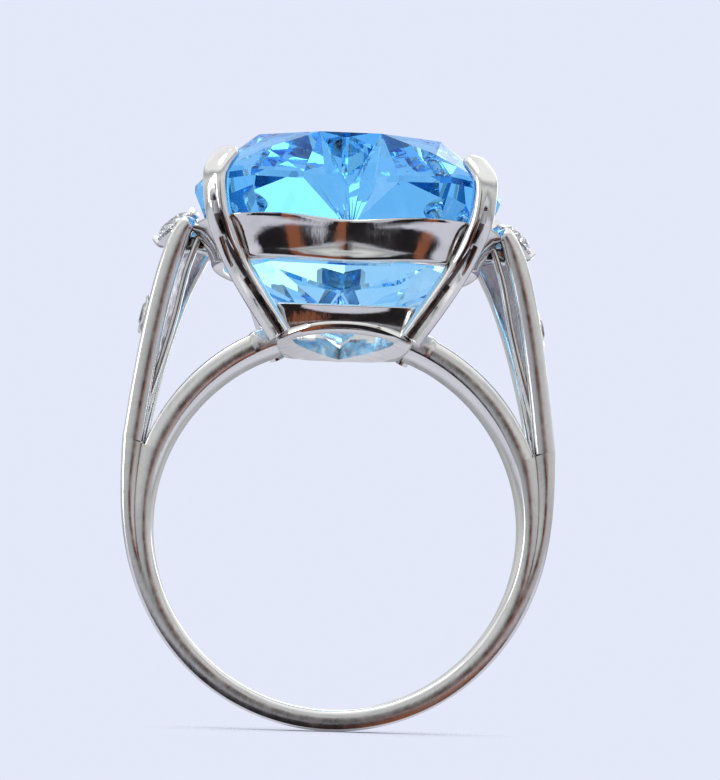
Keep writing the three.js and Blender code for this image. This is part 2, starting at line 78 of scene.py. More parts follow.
def curvePoints(points, steps):  # an even walk along a smooth curve through the points
    dense = []
    count = len(points)
    for i in range(count - 1):
        before = points[max(i - 1, 0)]
        here, after = points[i], points[i + 1]
        beyond = points[min(i + 2, count - 1)]
        for k in range(16):
            t = k / 16
            a = 2 * here
            b = (after - before) * t
            c = (2 * before - 5 * here + 4 * after - beyond) * t * t
            d = (3 * here - before - 3 * after + beyond) * t ** 3
            dense.append((a + b + c + d) / 2)
    dense.append(points[-1].copy())
    lengths = [0.0]
    for a, b in zip(dense, dense[1:]):
        lengths.append(lengths[-1] + (b - a).length)
    walk, j = [], 0
    for i in range(steps + 1):
        goal = lengths[-1] * i / steps
        while j < len(lengths) - 2 and lengths[j + 1] < goal:
            j += 1
        span = max(lengths[j + 1] - lengths[j], 1e-9)
        walk.append(dense[j].lerp(dense[j + 1], clamp((goal - lengths[j]) / span)))
    return walk


def framesAlong(points, outHint, steps):  # centre, side, out, along and share at each step
    walk = curvePoints(points, steps)
    frames = []
    for i, centre in enumerate(walk):
        along = (walk[min(i + 1, steps)] - walk[max(i - 1, 0)]).normalized()
        out = (outHint - along * outHint.dot(along)).normalized()
        frames.append((centre, along.cross(out).normalized(), out, along, i / steps))
    return frames


def roundedOutline(halfWide, halfDeep, radius, arcSteps=4):  # a rectangle with rounded corners
    outline = []
    for signX, signY, start in ((1, 1, 0), (-1, 1, 90), (-1, -1, 180), (1, -1, 270)):
        for k in range(arcSteps + 1):
            angle = math.radians(start + 90 * k / arcSteps)
            x = signX * (halfWide - radius) + radius * math.cos(angle)
            y = signY * (halfDeep - radius) + radius * math.sin(angle)
            outline.append((x, y))
    return outline


def placeOutline(spot, outline, scale=1.0, shift=0.0):
    centre, side, out, along, share = spot
    middle = centre + along * shift
    return [middle + side * (x * scale) + out * (y * scale) for x, y in outline]


def capped(spots, outlines, first=0.0, last=0.0):  # rings with domed ends, as long as first and last say
    rings = []
    for k in range(3, 0, -1):
        if first:
            turn = math.radians(90 * k / 3.4)
            rings.append(placeOutline(spots[0], outlines[0], math.cos(turn), -first * math.sin(turn)))
    rings += [placeOutline(spot, outline) for spot, outline in zip(spots, outlines)]
    for k in range(1, 4):
        if last:
            turn = math.radians(90 * k / 3.4)
            rings.append(placeOutline(spots[-1], outlines[-1], math.cos(turn), last * math.sin(turn)))
    return rings


def skin(rings, closed=False):  # vertices and faces through rings of the same count
    count = len(rings[0])
    points = [p for ring in rings for p in ring]
    faces = []
    for i in range(len(rings) if closed else len(rings) - 1):
        here, there = i * count, ((i + 1) % len(rings)) * count
        for j in range(count):
            k = (j + 1) % count
            faces.append((here + j, here + k, there + k, there + j))
    if not closed:
        for end in (0, len(rings) - 1):
            middle = sum(rings[end], Vector()) / count
            points.append(middle)
            last = len(points) - 1
            for j in range(count):
                a, b = end * count + j, end * count + (j + 1) % count
                faces.append((last, b, a) if end == 0 else (last, a, b))
    return points, faces


def piece(name, points, faces, material, nodes, sharp=35, flat=False, dark=()):
    mesh = bpy.data.meshes.new(name)
    mesh.from_pydata([tuple(p * mm) for p in points], [], faces)
    for i in dark:  # faces in the grooves that take the near-black metal, painted shade in the recess
        mesh.polygons[i].material_index = 1
    shape = bmesh.new()
    shape.from_mesh(mesh)
    bmesh.ops.remove_doubles(shape, verts=shape.verts, dist=2e-7)
    bmesh.ops.recalc_face_normals(shape, faces=shape.faces)
    for face in shape.faces:
        face.smooth = not flat
    for edge in shape.edges:
        if len(edge.link_faces) == 2 and edge.calc_face_angle(0) > math.radians(sharp):
            edge.smooth = False
    shape.to_mesh(mesh)
    shape.free()
    made = bpy.data.objects.new(name, mesh)
    bpy.context.collection.objects.link(made)
    mesh.materials.append(material)
    if dark:
        mesh.materials.append(paintedGrooveShadeMetal)
    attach(made, "root")
    if nodes:
        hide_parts(*nodes)
    return made


def mirroredRings(rings, side):
    return [[Vector((p.x * side, p.y, p.z)) for p in ring] for ring in rings]


# materials

def blankMaterial(name):
    material = bpy.data.materials.new(name)
    material.use_nodes = True
    nodes = material.node_tree.nodes
    return material, nodes, material.node_tree.links, nodes["Principled BSDF"], nodes["Material Output"]


def noiseNode(nodes, links, scale, detail=3.0, stretch=None):
    place = nodes.new("ShaderNodeTexCoord")
    texture = nodes.new("ShaderNodeTexNoise")
    texture.inputs["Scale"].default_value = scale
    texture.inputs["Detail"].default_value = detail
    if stretch:
        mapping = nodes.new("ShaderNodeMapping")
        mapping.inputs["Scale"].default_value = stretch
        links.new(place.outputs["Object"], mapping.inputs["Vector"])
        links.new(mapping.outputs["Vector"], texture.inputs["Vector"])
    else:
        links.new(place.outputs["Object"], texture.inputs["Vector"])
    return texture


def rampNode(nodes, links, source, stops):
    ramp = nodes.new("ShaderNodeValToRGB")
    elements = ramp.color_ramp.elements
    elements[0].position, elements[0].color = stops[0][0], (*stops[0][1], 1)
    elements[1].position, elements[1].color = stops[-1][0], (*stops[-1][1], 1)
    for position, colour in stops[1:-1]:
        element = elements.new(position)
        element.color = (*colour, 1)
    links.new(source, ramp.inputs["Fac"])
    return ramp


def rangeNode(nodes, links, source, low, high, fromLow=0.35, fromHigh=0.65):
    spread = nodes.new("ShaderNodeMapRange")
    spread.inputs["From Min"].default_value = fromLow
    spread.inputs["From Max"].default_value = fromHigh
    spread.inputs["To Min"].default_value = low
    spread.inputs["To Max"].default_value = high
    links.new(source, spread.inputs["Value"])
    return spread


polishLook = {
    "bright": (0.88, 0.88, 0.87),
    "dull": (0.78, 0.79, 0.77),
    # painted shade: the near-black colour that ambient occlusion mixes into corners and creases
    "paintedCreviceShade": (0.10, 0.085, 0.08, 1),
    "smoothest": 0.05,
    "roughest": 0.17,
    "paintedShadeReach": 0.4,
    "scratchDepth": 0.003,
    "dentDepth": 0.009,
}
# rough cast finish (roughness and dents) for the shoulder plates, with a darker lilac-grey colour that is
# painted shade
castShadedLook = dict(polishLook, bright=(0.44, 0.42, 0.50), dull=(0.31, 0.29, 0.36), smoothest=0.22,
                roughest=0.42, scratchDepth=0.01, dentDepth=0.06)
satinLook = dict(polishLook, dull=(0.84, 0.84, 0.83), smoothest=0.14, roughest=0.24)
# painted shade: a near-black copy of the metal for the faces inside the claws' grooves
grooveShadeLook = dict(polishLook, bright=(0.20, 0.16, 0.15), dull=(0.03, 0.028, 0.03), smoothest=0.12,
                  roughest=0.35, scratchDepth=0.01, dentDepth=0.06)


def polishedMetal(name, look):
    material, nodes, links, shader, output = blankMaterial(name)
    patches = noiseNode(nodes, links, 900.0, 5.0)
    tone = rampNode(nodes, links, patches.outputs["Fac"], ((0.35, look["dull"]), (0.58, look["bright"])))
    paintedCreviceShade = nodes.new("ShaderNodeAmbientOcclusion")  # painted shade: ambient occlusion darkens the colour in corners and creases
    paintedCreviceShade.samples = 6
    paintedCreviceShade.inputs["Distance"].default_value = look["paintedShadeReach"] * mm
    unshadedShare = rangeNode(nodes, links, paintedCreviceShade.outputs["AO"], 0.25, 1.0, 0.2, 0.72)
    shade = nodes.new("ShaderNodeMix")
    shade.data_type = "RGBA"
    shade.inputs["A"].default_value = look["paintedCreviceShade"]
    links.new(unshadedShare.outputs["Result"], shade.inputs["Factor"])
    links.new(tone.outputs["Color"], shade.inputs["B"])
    links.new(shade.outputs["Result"], shader.inputs["Base Color"])
    shader.inputs["Metallic"].default_value = 1.0
    smudges = noiseNode(nodes, links, 1500.0, 5.0)
    rough = rangeNode(nodes, links, smudges.outputs["Fac"], look["smoothest"], look["roughest"])
    links.new(rough.outputs["Result"], shader.inputs["Roughness"])
    scratches = noiseNode(nodes, links, 5200.0, 2.0, (1.0, 0.16, 0.3))
    dents = noiseNode(nodes, links, 1500.0, 4.0)
    fine = nodes.new("ShaderNodeBump")
    fine.inputs["Strength"].default_value = 1.0
    fine.inputs["Distance"].default_value = look["scratchDepth"] * mm
    links.new(scratches.outputs["Fac"], fine.inputs["Height"])
    coarse = nodes.new("ShaderNodeBump")
    coarse.inputs["Strength"].default_value = 1.0
    coarse.inputs["Distance"].default_value = look["dentDepth"] * mm
    links.new(dents.outputs["Fac"], coarse.inputs["Height"])
    links.new(fine.outputs["Normal"], coarse.inputs["Normal"])
    links.new(coarse.outputs["Normal"], shader.inputs["Normal"])
    return material


blueLook = {
    "tint": (0.21, 0.60, 0.975),
    # painted light: the paler colour laid on the stone below the rail
    "paintedPaleTint": (0.95, 0.985, 1.0),
    "paleBelow": 11.6,  # millimetres up the ring
    "deepAbove": 12.2,
    "deepColour": (0.05, 0.66, 0.99, 1),
    "depth": 28.0,  # per metre
    "bend": 1.36,
    "ripple": 0.0006,
}
whiteLook = {
    "tint": (0.98, 0.99, 1.0),
    "deepColour": (0.86, 0.92, 1.0, 1),
    "depth": 20.0,
    "bend": 2.1,
    "ripple": 0.0002,
}


def gemMaterial(name, look):
    material, nodes, links, shader, output = blankMaterial(name)
    if "paintedPaleTint" in look:  # painted light: the stone is painted paler low down and deeper blue above the rail, though it is one colour throughout
        place = nodes.new("ShaderNodeTexCoord")
        split = nodes.new("ShaderNodeSeparateXYZ")
        links.new(place.outputs["Object"], split.inputs["Vector"])
        height = rangeNode(nodes, links, split.outputs["Z"], 0.0, 1.0,
                           look["paleBelow"] * mm, look["deepAbove"] * mm)
        tint = rampNode(nodes, links, height.outputs["Result"], ((0.0, look["paintedPaleTint"]), (1.0, look["tint"])))
        links.new(tint.outputs["Color"], shader.inputs["Base Color"])
    else:
        shader.inputs["Base Color"].default_value = (*look["tint"], 1)
    shader.inputs["Transmission Weight"].default_value = 1.0
    shader.inputs["IOR"].default_value = look["bend"]
    haze = noiseNode(nodes, links, 700.0, 4.0)
    rough = rangeNode(nodes, links, haze.outputs["Fac"], 0.0, 0.02, 0.45, 0.75)
    links.new(rough.outputs["Result"], shader.inputs["Roughness"])
    wear = noiseNode(nodes, links, 2600.0, 3.0)
    bump = nodes.new("ShaderNodeBump")
    bump.inputs["Strength"].default_value = 0.6
    bump.inputs["Distance"].default_value = look["ripple"] * mm
    links.new(wear.outputs["Fac"], bump.inputs["Height"])
    links.new(bump.outputs["Normal"], shader.inputs["Normal"])
    absorb = nodes.new("ShaderNodeVolumeAbsorption")
    absorb.inputs["Color"].default_value = look["deepColour"]
    absorb.inputs["Density"].default_value = look["depth"]
    links.new(absorb.outputs["Volume"], output.inputs["Volume"])
    return material


metal = polishedMetal("polishedWhiteMetal", polishLook)
castShadedMetal = polishedMetal("castShadedWhiteMetal", castShadedLook)
satinMetal = polishedMetal("satinWhiteMetal", satinLook)
paintedGrooveShadeMetal = polishedMetal("paintedGrooveShade", grooveShadeLook)
blueGem = gemMaterial("blueTopaz", blueLook)
whiteGem = gemMaterial("smallWhiteStone", whiteLook)
print("materials made")


# shank and inner arches

shank = {
    "holeRadius": 8.65,
    "bottomWidth": 2.2,
    "splitWidth": shankHigh.y - shankLow.y,
    "splitThickness": 2.12,
    "splitAngle": 20.0,
    "edgeRound": 0.13,
    "crown": 0.085,  # how far the front and back faces bulge
    "valley": 0.05,
    "archThickness": 1.05,
    "archHeadWidth": 3.5,
    "archEnd": 70.0,
    "blockSize": 0.07,  # the square end that meets the head
    "blockFrom": 0.86,
}
shank["bottomThickness"] = -shankLow.z - shank["holeRadius"]


# the front and back faces bulge; split parts the bulge in two, with the valley where the band will part
def crownedOutline(halfWidth, halfThick, edge, crown, split=0.0, valley=0.0, steps=12):
    face = []
    for k in range(steps + 1):
        v = lerp(-1, 1, k / steps)
        single = v * v
        low, high = (-1, valley) if v < valley else (valley, 1)
        double = ((v - (low + high) / 2) / ((high - low) / 2)) ** 2
        drop = crown * lerp(single, double, split)
        corner = max(0.0, abs(v) - (1 - edge / halfThick)) / (edge / halfThick)
        drop += edge * (1 - math.sqrt(max(0.0, 1 - corner * corner)))
        face.append((halfWidth - drop, v * halfThick))
    return face + [(-x, y) for x, y in reversed(face)]


def bandRing(angle, thickness, width, edge, split=0.0):
    turn = math.radians(angle)
    out = Vector((math.cos(turn), 0, math.sin(turn)))
    centre = out * (shank["holeRadius"] + thickness / 2)
    outline = crownedOutline(width / 2, thickness / 2, edge, shank["crown"], split, shank["valley"], 20)
    return [centre + Vector((0, x, 0)) + out * y for x, y in outline]


def makeShank():
    sweep = 90 + shank["splitAngle"]
    rings = []
    steps = 80
    for i in range(-steps, steps + 1):
        share = abs(i) / steps
        flare = 0.3 * share ** 2 + 0.7 * share ** 8
        thickness = lerp(shank["bottomThickness"], shank["splitThickness"], flare)
        width = lerp(shank["bottomWidth"], shank["splitWidth"], share ** 2)
        split = ease((share - 0.55) / 0.4)
        rings.append(bandRing(-90 + sweep * i / steps, thickness, width, shank["edgeRound"], split))
    points, faces = skin(rings)
    return piece("shank", points, faces, satinMetal, ["shank"], sharp=50)


def makeArch(label, side):
    rings = []
    steps = 90
    for i in range(steps + 1):
        share = i / steps
        angle = lerp(shank["splitAngle"] - 0.15, shank["archEnd"], share)
        width = lerp(shank["splitWidth"] - 0.004, shank["archHeadWidth"], math.sin(share * math.pi / 2))
        block = shank["blockSize"] * ease((share - shank["blockFrom"]) / 0.012)
        rings.append(bandRing(angle, shank["archThickness"] + block, width + block, shank["edgeRound"]))
    points, faces = skin(mirroredRings(rings, side))
    node = "inner_arch_" + label.lower()
    return piece("innerArch" + label, points, faces, satinMetal, [node], sharp=50)


makeShank()
for label, side in (("Left", -1), ("Right", 1)):
    makeArch(label, side)
print("shank and arches made")


# centre stone

stone = {
    "lobeRadius": 3.65,
    "culetAlong": 0.6,
    "crownHeight": 2.5,
    "girdle": 0.3,
    "keelFront": -1.4,
    "keelBack": 3.4,
    "keelShare": 0.44,
    "keelRingShare": 0.83,
    "tableShare": 0.66,
    "facets": 8,  # round the outline, not counting the cleft
    "flutes": 6,  # on each side of the cleft
    "fluteDepth": 0.03,
    "cleftHalfWidth": 2.15,
    "cleftFootHalf": 0.45,
    "cleftFootAlong": -4.78,
}
stone["lobeAside"] = stoneHigh.x - stone["lobeRadius"]
stone["lobeAlong"] = stoneLow.y + stone["lobeRadius"]
girdleTop = stoneHigh.z - stone["crownHeight"]
girdleBottom = girdleTop - stone["girdle"]


def heartHalf(steps=160):  # the right half of the heart, from the cleft to the point
    radius, aside, along = stone["lobeRadius"], stone["lobeAside"], stone["lobeAlong"]
    start = math.atan2(-math.sqrt(radius ** 2 - aside ** 2), -aside)
    line = []
    for i in range(steps):
        turn = start * (1 - i / steps)
        line.append(Vector((aside + radius * math.cos(turn), along + radius * math.sin(turn))))
    belly = (stoneHigh.y - along) * 0.42
    wide = stoneHigh.x
    knots = ((wide, along), (wide, along + belly), (wide * 0.4, stoneHigh.y - belly * 0.62), (0, stoneHigh.y))
    for i in range(steps + 1):
        t = i / steps
        weights = ((1 - t) ** 3, 3 * t * (1 - t) ** 2, 3 * t * t * (1 - t), t ** 3)
        line.append(sum((Vector(k) * w for k, w in zip(knots, weights)), Vector((0, 0))))
    return line


heartLine = heartHalf()
heartLengths = [0.0]
for before, after in zip(heartLine, heartLine[1:]):
    heartLengths.append(heartLengths[-1] + (after - before).length)


def heartAt(turn):  # a point of the outline, 0 at the cleft, 0.5 at the point, 1 back at the cleft
    turn = turn % 1.0
    side = 1 if turn <= 0.5 else -1
    goal = heartLengths[-1] * (turn if turn <= 0.5 else 1 - turn) * 2
    i = 0
    while i < len(heartLengths) - 2 and heartLengths[i + 1] < goal:
        i += 1
    span = max(heartLengths[i + 1] - heartLengths[i], 1e-9)
    flat = heartLine[i].lerp(heartLine[i + 1], clamp((goal - heartLengths[i]) / span))
    return Vector((flat.x * side, flat.y))


def turnNear(x, front, inner=False):  # the place on the right half of the outline that is this far out
    def miss(i):
        spot = heartLine[i]
        wrongEnd = (spot.y < stone["lobeAlong"]) != front
        wrongSide = front and (spot.x < stone["lobeAside"]) != inner
        return abs(spot.x - x) + (100 if wrongEnd or wrongSide else 0)

    best = min(range(len(heartLine)), key=miss)
    return heartLengths[best] / heartLengths[-1] / 2


def heartLevel(turn, share, height, cleft=1.0, offset=0.0):
    flat = heartAt(turn)
    if abs(flat.x) < stone["lobeAside"] and flat.y < stone["lobeAlong"]:
        flat.y = lerp(stoneLow.y, flat.y, cleft)
    if offset:
        run = heartAt(turn + 0.004) - heartAt(turn - 0.004)
        normal = Vector((run.y, -run.x)).normalized()
    else:
        normal = Vector((0, 0))
    x = flat.x * share + normal.x * offset
    y = stone["culetAlong"] + (flat.y - stone["culetAlong"]) * share + normal.y * offset
    return Vector((x, y, height))


def makeCentreStone():
    count, flutes = stone["facets"], stone["flutes"]
    depth = girdleBottom - stoneLow.z
    edge = turnNear(stone["cleftHalfWidth"], True, True)
    points, faces = [], []

    def put(turn, share, height, cleft):
        points.append(heartLevel(turn, share, height, cleft))
        return len(points) - 1

    def turnAt(step):  # past the cleft's edge, right round to its other edge
        return edge + (1 - 2 * edge) * step / count

    def row(steps, share, height, cleft):
        return [put(turnAt(step), share, height, cleft) for step in steps]

    halves = [i / 2 for i in range(2 * count + 1)]
    middles = [i + 0.5 for i in range(count)]
    table = row(range(count + 1), stone["tableShare"], stoneHigh.z, 0.15)
    kite = row(middles, 0.86, girdleTop + stone["crownHeight"] * 0.5, 0.85)
    upper = row(halves, 1.0, girdleTop, 1.0)
    lower = row(halves, 1.0, girdleBottom, 1.0)
    belly = row(middles, 0.785, girdleBottom - depth * 0.57, 0.15)
    faces.append(tuple(reversed(table)))
    for i in range(count):
        faces.append((table[i], table[i + 1], kite[i]))
        faces.append((kite[i], upper[2 * i], upper[2 * i + 1]))
        faces.append((kite[i], upper[2 * i + 1], upper[2 * i + 2]))
        faces.append((belly[i], lower[2 * i], lower[2 * i + 1]))
        faces.append((belly[i], lower[2 * i + 1], lower[2 * i + 2]))
        if i < count - 1:
            faces.append((table[i + 1], kite[i], upper[2 * i + 2]))
            faces.append((table[i + 1], upper[2 * i + 2], kite[i + 1]))
            faces.append((belly[i], lower[2 * i + 2], belly[i + 1]))
    for i in range(2 * count):
        faces.append((upper[i], upper[i + 1], lower[i + 1], lower[i]))

    # the cleft: fluted walls that close downwards on a narrow round bottom
    top, rim, foot = [upper[-1]], [lower[-1]], []
    for k in range(1, 2 * flutes):
        turn = edge * (k / flutes - 1)
        wave = stone["fluteDepth"] * (1 if k % 2 else -1) * (0 if k == flutes else 1)
        points.append(heartLevel(turn, 1.0, girdleTop) + Vector((0, wave, 0)))
        top.append(len(points) - 1)
        points.append(heartLevel(turn, 1.0, girdleBottom) + Vector((0, wave, 0)))
        rim.append(len(points) - 1)
    top.append(upper[0])
    rim.append(lower[0])
    footHeight = railHigh.z + 0.03
    for k in range(2 * flutes + 1):
        across = k / flutes - 1
        wave = stone["fluteDepth"] * 0.5 * (1 if k % 2 else -1)
        points.append(Vector((across * stone["cleftFootHalf"], stone["cleftFootAlong"] + wave,
                              footHeight + 0.16 * across * across)))
        foot.append(len(points) - 1)
    for k in range(2 * flutes):
        crown = table[-1] if k < flutes else table[0]
        faces.append((crown, top[k], top[k + 1]))
        faces.append((top[k], top[k + 1], rim[k + 1], rim[k]))
        faces.append((rim[k], rim[k + 1], foot[k + 1], foot[k]))
    faces.append((table[-1], top[flutes], table[0]))
    faces.append((kite[0], table[0], upper[0]))
    faces.append((kite[-1], upper[-1], table[-1]))
    nose = put(0.0, 0.775, girdleBottom - depth * 0.57, 0.15)
    for k in range(2 * flutes):
        faces.append((foot[k], foot[k + 1], nose))
    faces.append((lower[0], belly[0], foot[-1]))
    faces.append((foot[-1], belly[0], nose))
    faces.append((lower[-1], foot[0], belly[-1]))
    faces.append((foot[0], nose, belly[-1]))

    # below the rail: alternate triangles down to a short keel
    around = belly + [nose]
    low = []
    for i, here in enumerate(around):
        there = points[around[(i + 1) % len(around)]]
        middle = (points[here] + there) / 2
        share = stone["keelShare"]
        low.append(len(points))
        along = stone["culetAlong"] + (middle.y - stone["culetAlong"]) * share
        points.append(Vector((middle.x * share, along, girdleBottom - depth * stone["keelRingShare"])))
    keel = len(points)
    points.append(Vector((0, stone["keelFront"], stoneLow.z)))
    points.append(Vector((0, stone["keelBack"], stoneLow.z + 0.15)))
    lowest = [keel if points[k].y < 0.5 else keel + 1 for k in low]
    for i in range(len(around)):
        j = (i + 1) % len(around)
        faces.append((around[i], around[j], low[i]))
        faces.append((low[i], around[j], low[j]))
        faces.append((lowest[i], low[i], low[j]))
        if lowest[i] != lowest[j]:
            faces.append((lowest[i], low[j], lowest[j]))
    return piece("centreStone", points, faces, blueGem, ["centre_stone"], flat=True)


makeCentreStone()
print("centre stone made")


# upper gallery rail

upperRail = {
    "wall": 0.45,
    "topShare": 0.94,
    "bottomShare": 0.79,
    "topDip": 0.95,
    "bottomDip": 0.4,
    "seat": 0.06,
    "hollow": 0.15,  # how deep the outer face is dished
    "bead": 0.1,  # height of the bright bead along each edge
}


def railOutline(share, dip):  # the heart with its cleft softened to a dip, and the outward directions
    aside = stone["lobeAside"]
    right = []
    for i in range(60):
        x = aside * i / 60
        right.append(Vector((x, stoneLow.y + dip * math.cos(math.pi * x / (2 * aside)) ** 2, 0)))
    beyond = [p for p in heartLine if p.x >= aside or p.y > stone["lobeAlong"]]
    right += [Vector((p.x, p.y, 0)) for p in beyond[::2]]
    right[-1].x = 0
    flat = right + [Vector((-p.x, p.y, 0)) for p in reversed(right[1:-1])]
    flat = [Vector((p.x * share, stone["culetAlong"] + (p.y - stone["culetAlong"]) * share, 0)) for p in flat]
    ways = []
    for i in range(len(flat)):
        run = flat[(i + 1) % len(flat)] - flat[i - 1]
        ways.append(Vector((run.y, -run.x, 0)).normalized())
    return flat, ways


def makeUpperRail():
    bead = upperRail["bead"]
    outer, inner = [], []
    for down in (0, 0.015, 0.04, 0.075, 0.1, 0.2, 0.32, 0.44, 0.56, 0.68, 0.8, 0.9, 0.925, 0.96, 0.985, 1):
        share = lerp(upperRail["topShare"], upperRail["bottomShare"], down)
        soft, ways = railOutline(share, lerp(upperRail["topDip"], upperRail["bottomDip"], down))
        inside = clamp((down - bead) / (1 - 2 * bead))
        edge = clamp(min(down, 1 - down) / bead * 1.6)
        dish = upperRail["hollow"] * math.sin(math.pi * inside) ** 0.6
        rounding = 0.09 * (1 - math.sqrt(clamp(1 - (1 - edge) ** 2)))
        wall = upperRail["seat"] + upperRail["wall"] - dish - rounding
        lift = Vector((0, 0, lerp(railHigh.z, railLow.z, down)))
        outer.append([p + way * wall + lift for p, way in zip(soft, ways)])
        inner.append([p + way * upperRail["seat"] + lift for p, way in zip(soft, ways)])
    rings = [[level[i] for level in outer] + [level[i] for level in reversed(inner)]
             for i in range(len(outer[0]))]
    points, faces = skin(rings, closed=True)
    return piece("upperGalleryRail", points, faces, metal, ["upper_gallery_rail"], sharp=40)


makeUpperRail()
print("upper gallery rail made")


# head base, the lower gallery rail that stands on the finger hole

base = {
    "windowHalfWidth": 2.35,
    "windowFront": -2.6,
    "windowBack": 4.95,
    "hollow": 0.12,
    "lean": 0.42,  # how far the wall leans in at the bottom
    "arch": 0.16,  # how far the lower edge rises over the finger hole
}


def baseOutline(halfWidth, front, back, steps=96):
    corner = halfWidth * 0.12
    knots = [
        Vector((0, front, 0)),
        Vector((halfWidth - corner, front, 0)),
        Vector((halfWidth - corner * 0.3, front + corner * 0.3, 0)),
        Vector((halfWidth, front + corner, 0)),
        Vector((halfWidth * 0.985, lerp(front, back, 0.42), 0)),
        Vector((halfWidth * 0.86, lerp(front, back, 0.66), 0)),
        Vector((halfWidth * 0.55, lerp(front, back, 0.9), 0)),
        Vector((0, back, 0)),
    ]
    right = curvePoints(knots, steps // 2)
    left = [Vector((-p.x, p.y, 0)) for p in reversed(right[1:-1])]
    return right + left


def windowOutline(halfWidth, front, back, steps=96):  # straight in front and pointed behind
    knots = [
        Vector((0, front, 0)),
        Vector((halfWidth * 0.8, front, 0)),
        Vector((halfWidth, front + 0.3, 0)),
        Vector((halfWidth * 0.88, lerp(front, back, 0.3), 0)),
        Vector((halfWidth * 0.58, lerp(front, back, 0.62), 0)),
        Vector((halfWidth * 0.24, lerp(front, back, 0.88), 0)),
        Vector((0, back, 0)),
    ]
    right = curvePoints(knots, steps // 2)
    left = [Vector((-p.x, p.y, 0)) for p in reversed(right[1:-1])]
    return right + left


def makeHeadBase():
    outer = baseOutline(baseHigh.x, baseLow.y, baseHigh.y)
    window = windowOutline(base["windowHalfWidth"], base["windowFront"], base["windowBack"])
    rings = []
    levels = 8
    for out, hole in zip(outer, window):
        ring = []
        floorOut = math.sqrt(max(shank["holeRadius"] ** 2 - out.x ** 2, 1))
        floorIn = math.sqrt(max(shank["holeRadius"] ** 2 - hole.x ** 2, 1))
        inward = (hole - out).normalized()
        middle = clamp(1 - abs(out.x) / baseHigh.x)
        lowEdge = floorOut + 0.02 + base["arch"] * ease(middle * 1.5)
        ring.append(Vector((out.x, out.y, lowEdge)) + inward * (base["lean"] - 0.04))
        ring.append(Vector((out.x, out.y, lowEdge + 0.06)) + inward * (base["lean"] - 0.08))
        for k in range(1, levels + 1):
            rise = k / levels
            dish = base["hollow"] * math.sin(math.pi * rise) ** 0.8 + base["lean"] * (1 - rise)
            height = lerp(lowEdge + 0.1, baseHigh.z - 0.1, rise)
            ring.append(Vector((out.x, out.y, height)) + inward * dish)
        ring.append(Vector((out.x, out.y, baseHigh.z - 0.07)))
        ring.append(Vector((out.x, out.y, baseHigh.z)) + inward * 0.06)
        ring.append(Vector((hole.x, hole.y, baseHigh.z)))
        ring.append(Vector((hole.x, hole.y, floorIn + 0.02)))
        for k in (0.25, 0.5, 0.75):
            flat = hole.lerp(out, k)
            floor = math.sqrt(max(shank["holeRadius"] ** 2 - flat.x ** 2, 1))
            ring.append(Vector((flat.x, flat.y, floor)))
        rings.append(ring)
    points, faces = skin(rings, closed=True)
    made = piece("headBase", points, faces, metal, ["head_base"])
    soften = made.modifiers.new("edge", "BEVEL")
    soften.width, soften.segments, soften.limit_method = 0.025 * mm, 2, "ANGLE"
    soften.angle_limit = math.radians(35)
    return made


makeHeadBase()
print("head base made")


# claws

claw = {
    "width": 1.22,
    "depth": 0.8,
    "footShare": 0.95,
    "groove": 0.42,
    "tipRound": 0.36,
    "cover": 0.3,
    "rise": 0.9,
    "frontAside": 5.9,  # how far out the front claws grip the stone
    "rearAside": 4.68,
    "rearFootShare": 0.88,
    "rearFootInset": 1.75,
}


def clawOutline(halfWide, halfDeep, groove, grooveAt, grooveHalf, steps=64):
    outline, inside = [], []
    for i in range(steps):
        turn = 2 * math.pi * i / steps
        c, s = math.cos(turn), math.sin(turn)
        x = halfWide * math.copysign(abs(c) ** 0.62, c)
        y = halfDeep * math.copysign(abs(s) ** 0.78, s)
        if s > 0 and groove > 0:
            away = abs(x / halfWide - grooveAt) / grooveHalf
            y -= groove * (1 - ease((away - 0.45) / 0.55))
            if away < 0.72:
                inside.append(i)
        outline.append((x, y))
    return outline, inside


def makeClaw(name, node, points, out, grooved, side):
    spots = framesAlong(points, out, 72)
    outlines, dark = [], []
    first = 3  # rings of the foot's dome
    for i, (centre, sideways, outward, along, share) in enumerate(spots):
        narrow = lerp(claw["footShare"], 1.0, clamp(share * 1.6))
        swell = 1 + 0.1 * ease((share - 0.8) / 0.15)
        halfWide = claw["width"] * narrow * swell / 2
        halfDeep = claw["depth"] * lerp(1.0, 0.9, ease((share - 0.85) / 0.15)) / 2
        groove = claw["groove"] * (1 - ease((share - 0.62) / 0.22)) if grooved else 0
        half = lerp(0.52, 0.3, ease(share / 0.75))
        at = grooveSide * lerp(0.34, 0.26, share)
        outline, inside = clawOutline(halfWide, halfDeep, groove, at, half)
        outlines.append(outline)
        # the lower groove faces take the near-black metal, painted shade
        if share < 0.66:
            dark += [(i + first) * len(outline) + j for j in inside]
    rings = capped(spots, outlines, 0.05, claw["tipRound"])
    points, faces = skin(mirroredRings(rings, side))
    return piece(name, points, faces, metal, [node], sharp=50, dark=dark)


grooveSide = -1  # the groove runs nearer to the middle of the head


def clawPath(flatAt, out, foot, tipHeight):
    bottom = Vector((foot[0], foot[1], foot[2]))

    def beside(height, share, standoff):
        x = flatAt.x * share
        y = stone["culetAlong"] + (flatAt.y - stone["culetAlong"]) * share
        return Vector((x, y, height)) + out * standoff

    low = beside(railLow.z, upperRail["bottomShare"], 0.75)
    return [
        bottom,
        bottom.lerp(low, 0.5) + out * 0.12,
        low,
        beside(lerp(railLow.z, railHigh.z, 0.75), 0.9, 0.74),
        beside(girdleBottom - 1.1, 0.97, 0.52),
        beside(girdleTop, 1.0, 0.32),
        beside(tipHeight, 1.0, -claw["cover"]),
    ]


def outlineSpot(turn):
    flat = heartAt(turn)
    run = heartAt(turn + 0.004) - heartAt(turn - 0.004)
    return Vector((flat.x, flat.y, 0)), Vector((run.y, -run.x, 0)).normalized()


